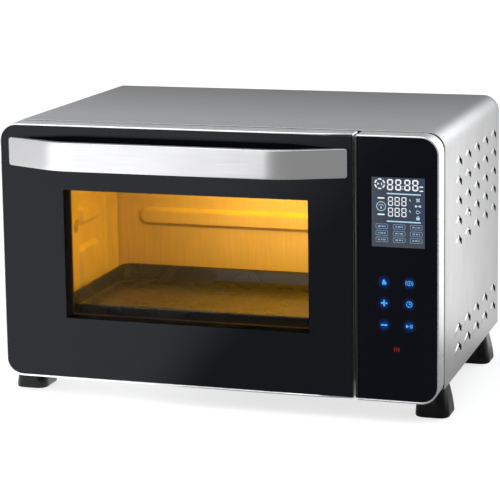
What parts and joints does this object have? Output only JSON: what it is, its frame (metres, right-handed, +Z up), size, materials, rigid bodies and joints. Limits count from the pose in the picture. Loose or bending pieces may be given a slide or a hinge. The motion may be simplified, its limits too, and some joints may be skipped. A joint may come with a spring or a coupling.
{
  "type": "toaster oven",
  "caption": "Countertop electric oven with a drop-down glass door, arched bar handle, touch control panel on the right, louvred steel case and four feet.",
  "frame": {"origin": "on the table under the middle of the whole oven, handle included", "axes": "+X to the control panel's side, +Y towards the back, +Z up; the door faces -Y"},
  "size_m": [0.508, 0.374, 0.3121],
  "materials": {
    "case_steel": "brushed along the width of the oven",
    "bright_trim": "satin, bright edge",
    "zinc_sheet": "zinc coated sheet",
    "cavity_liner": "smooth aluminised sheet",
    "dark_enamel": "black enamel",
    "door_glass": "black glass with one clear window",
    "control_glass": "black glass, printed on its back",
    "clear_glass": "clear",
    "foot_plastic": "glossy black",
    "black_plastic": "moulded",
    "matt_black": "matt black",
    "tray_steel": "smooth sheet",
    "rack_wire": "chromed wire",
    "element_sheath": "heat-darkened steel",
    "hinge_steel": "plain steel",
    "screw": "dark zinc",
    "motor_case": "zinc",
    "ceramic": "unglazed ceramic",
    "bulb": "clear bulb",
    "circuit_board": "green board"
  },
  "bodies": {
    "case": {"outer_wrapper": "case_steel", "rear_panel": "zinc_sheet", "base_plate": "zinc_sheet", "foot_front_left": "foot_plastic", "foot_front_right": "foot_plastic", "foot_rear_left": "foot_plastic", "foot_rear_right": "foot_plastic", "front_frame": "dark_enamel", "cord_gland": "black_plastic", "rear_screw_1": "screw", "rear_screw_2": "screw", "rear_screw_3": "screw", "rear_screw_4": "screw", "cavity_left_wall": "cavity_liner", "cavity_right_wall": "cavity_liner", "cavity_back": "cavity_liner", "cavity_top": "cavity_liner", "cavity_floor": "cavity_liner", "crumb_tray": "tray_steel", "lower_element": "element_sheath", "upper_element": "element_sheath", "lower_element_clip": "cavity_liner", "upper_element_clip": "cavity_liner", "lamp_holder": "ceramic", "lamp_bulb": "bulb", "lamp_cover": "clear_glass", "temperature_probe": "cavity_liner", "fan_guard": "cavity_liner", "fan_motor": "motor_case", "spit_motor": "motor_case", "spit_rest": "cavity_liner", "panel_frame": "bright_trim", "control_glass": "control_glass", "display_module": "black_plastic", "control_board": "circuit_board", "power_board": "circuit_board", "relay_block": "black_plastic", "transformer": "motor_case", "hinge_bracket_left": "hinge_steel", "hinge_bracket_right": "hinge_steel", "hinge_spring_left": "hinge_steel", "hinge_spring_right": "hinge_steel"},
    "door": {"door_frame": "bright_trim", "window_surround": "matt_black", "inner_door_panel": "dark_enamel", "handle_bar": "case_steel", "outer_door_glass": "door_glass", "inner_door_glass": "clear_glass", "handle_screw_left": "screw", "handle_screw_right": "screw", "hinge_pin_left": "hinge_steel", "hinge_lug_left": "hinge_steel", "hinge_pin_right": "hinge_steel", "hinge_lug_right": "hinge_steel", "door_stay_left": "hinge_steel", "door_stay_right": "hinge_steel"},
    "shelf": {"wire_rack": "rack_wire", "baking_tray": "dark_enamel"},
    "fan": {"fan_blade": "cavity_liner"},
    "spit_drive": {"spit_socket": "rack_wire"}
  },
  "joints": [
    {"name": "door_hinge", "type": "hinge", "parent": "case", "child": "door", "pos_m": [0, -0.132, 0.029], "axis": [1, 0, 0], "range_deg": [0, 78], "stiffness_Nm_per_rad": 1, "springref_deg": -34.38},
    {"name": "shelf_slide", "type": "slide", "parent": "case", "child": "shelf", "axis": [0, -1, 0], "range_m": [0, 0.07]},
    {"name": "fan_spin", "type": "hinge", "parent": "case", "child": "fan", "pos_m": [0.126, 0.077, 0.222], "axis": [1, 0, 0], "continuous": true},
    {"name": "spit_spin", "type": "hinge", "parent": "case", "child": "spit_drive", "pos_m": [0.126, -0.009, 0.165], "axis": [1, 0, 0], "continuous": true}
  ],
  "couplings": [
    {"joint": "shelf_slide", "follows": "door_hinge", "m_per_rad": 0.05}
  ]
}
